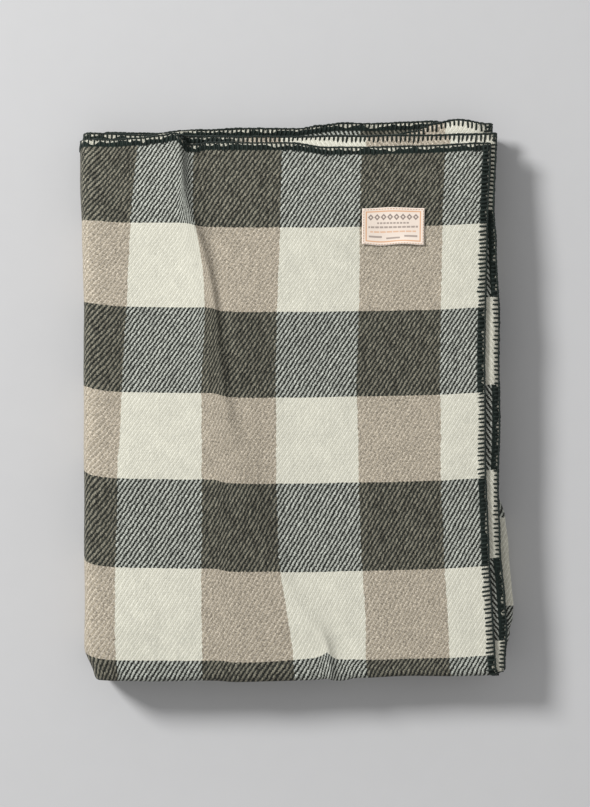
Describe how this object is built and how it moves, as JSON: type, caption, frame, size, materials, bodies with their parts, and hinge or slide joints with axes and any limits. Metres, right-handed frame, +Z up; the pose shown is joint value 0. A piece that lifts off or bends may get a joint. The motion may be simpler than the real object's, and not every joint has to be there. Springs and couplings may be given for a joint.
{
  "type": "folded camp blanket",
  "caption": "Checked twill wool blanket with overlocked edges and a sewn-on woven label, folded lengthwise and crosswise into a flat rectangular stack.",
  "frame": {"origin": "middle of the folded stack's footprint, on the surface it lies on", "axes": "+Z up out of the top leaf, +Y along the folded stack's long side towards the end hems, +X towards the side hems"},
  "size_m": [0.4317, 0.566, 0.0531],
  "materials": {
    "wool": "brushed wool 2/2 twill, cream and taupe warp stripes crossed by dark green and cream weft stripes",
    "edging_yarn": "dark green overlocked wool yarn",
    "label_cloth": "matt woven label cloth",
    "label_thread": "matt sewing thread"
  },
  "bodies": {
    "root": {"wool_cloth": "wool", "side_edging_1": "edging_yarn", "side_edging_2": "edging_yarn", "end_edging_1": "edging_yarn", "end_edging_2": "edging_yarn", "label": "label_cloth", "label_stitching": "label_thread"}
  },
  "joints": []
}
